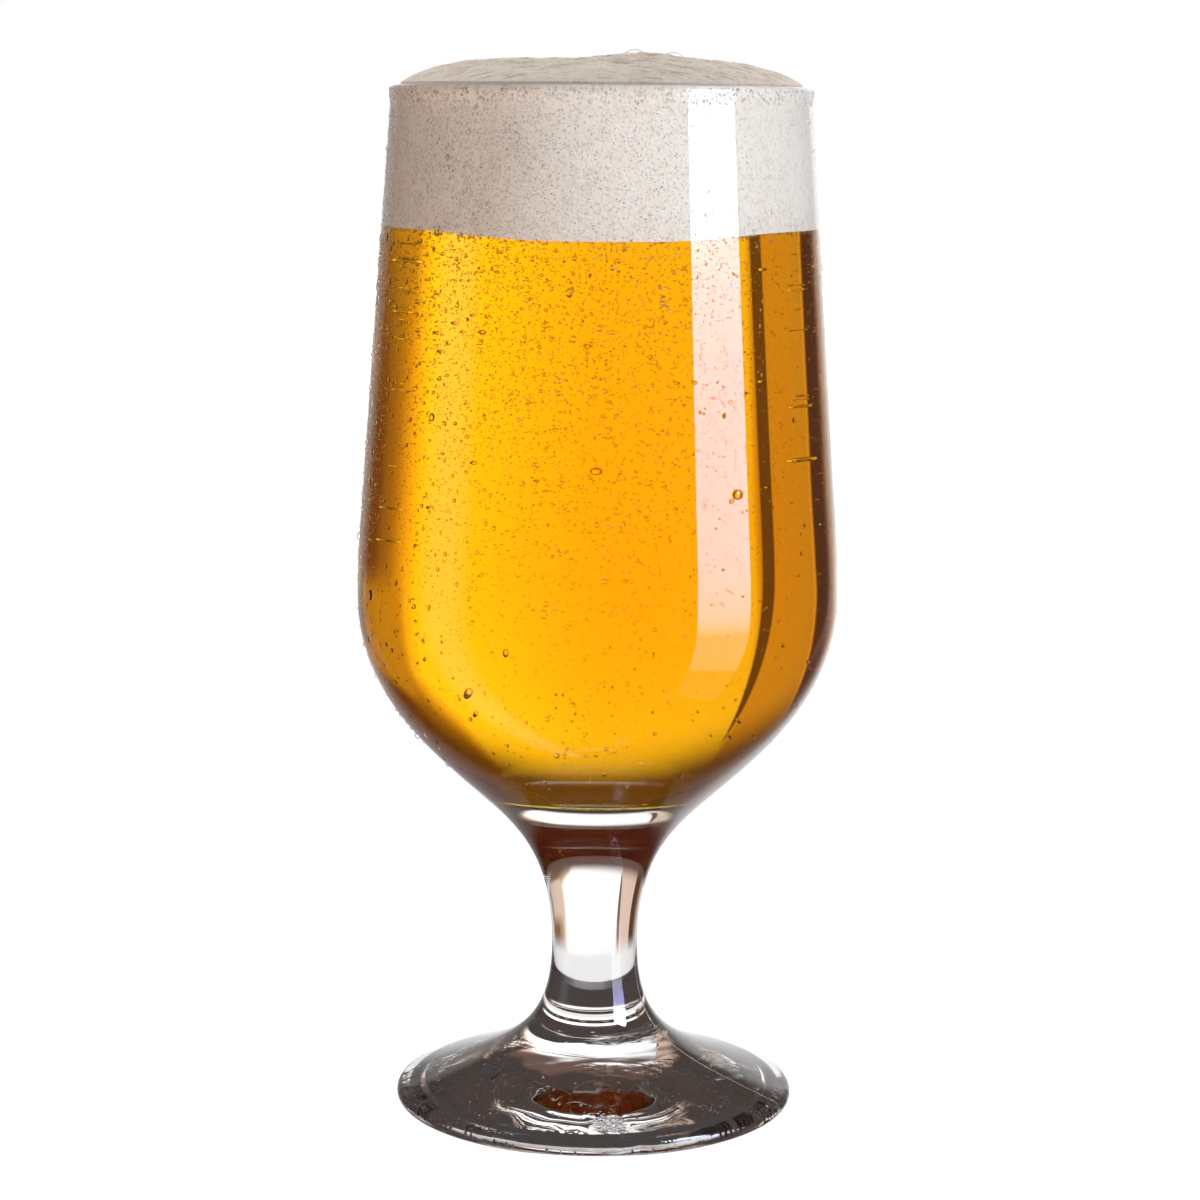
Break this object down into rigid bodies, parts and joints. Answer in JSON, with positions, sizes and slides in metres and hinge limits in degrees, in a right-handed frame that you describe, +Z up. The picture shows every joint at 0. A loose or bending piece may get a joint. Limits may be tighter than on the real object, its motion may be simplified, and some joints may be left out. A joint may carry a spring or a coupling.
{
  "type": "pint of beer",
  "caption": "Stemmed beer glass with a rounded bowl and a domed foot, filled with golden lager under a thick head of foam that stands above the rim.",
  "frame": {"origin": "centre of the foot's resting ring, on the table", "axes": "+Z up along the glass's axis; the picture's viewer is on the -Y side and +X is to the right"},
  "size_m": [0.0878, 0.0878, 0.1933],
  "materials": {
    "glass": "clear polished soda-lime glass",
    "beer": "clear golden lager",
    "foam": "fine off-white beer foam"
  },
  "bodies": {
    "root": {"glass": "glass", "beer": "beer", "foam": "foam"}
  },
  "joints": []
}
